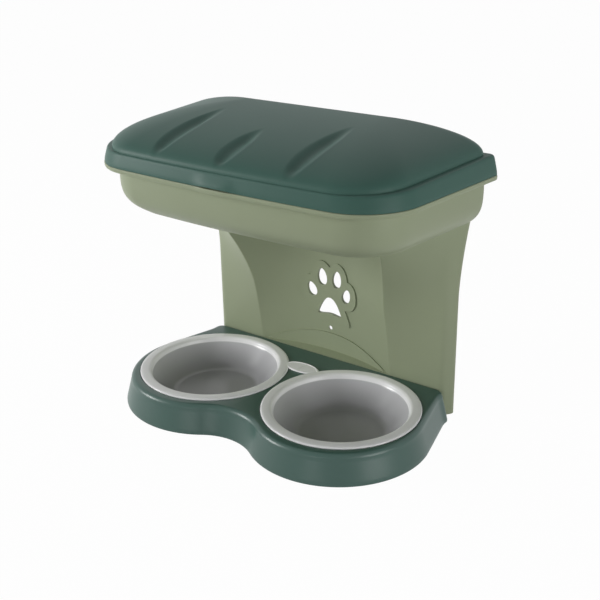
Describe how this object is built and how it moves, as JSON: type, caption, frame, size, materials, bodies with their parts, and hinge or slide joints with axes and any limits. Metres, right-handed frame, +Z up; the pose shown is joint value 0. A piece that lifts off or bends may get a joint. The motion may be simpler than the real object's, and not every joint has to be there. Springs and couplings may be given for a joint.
{
  "type": "elevated dog feeder with storage",
  "caption": "Dog feeder: a floor tray holds lift-out bowls in front of a support with a paw cut-out, and a lidded food bin stands on top.",
  "frame": {"origin": "on the floor, under the middle of the feeder's width and depth", "axes": "+X to the right as seen by someone facing the feeder, +Y back to the wall, +Z up"},
  "size_m": [0.54, 0.2868, 0.4414],
  "materials": {
    "lid_plastic": "fine satin texture, dark green",
    "sage_plastic": "fine satin texture, sage green",
    "tray_plastic": "fine satin texture, dark green",
    "bowl_plastic": "smooth semi-gloss, light grey",
    "screw_steel": "zinc plated",
    "foot_rubber": "matt black"
  },
  "bodies": {
    "stand": {"support": "sage_plastic", "bin": "sage_plastic", "tray": "tray_plastic", "bin_screws": "screw_steel", "tray_screws": "screw_steel", "tray_feet": "foot_rubber", "support_feet": "foot_rubber"},
    "lid": {"lid": "lid_plastic"},
    "bowl_left": {"bowl_left": "bowl_plastic"},
    "bowl_right": {"bowl_right": "bowl_plastic"}
  },
  "joints": [
    {"name": "lid_lift", "type": "slide", "parent": "stand", "child": "lid", "axis": [0, 0, 1], "range_m": [0, 0.12]},
    {"name": "bowl_left_lift", "type": "slide", "parent": "stand", "child": "bowl_left", "axis": [0, 0, 1], "range_m": [0, 0.055]},
    {"name": "bowl_right_lift", "type": "slide", "parent": "stand", "child": "bowl_right", "axis": [0, 0, 1], "range_m": [0, 0.055]}
  ]
}
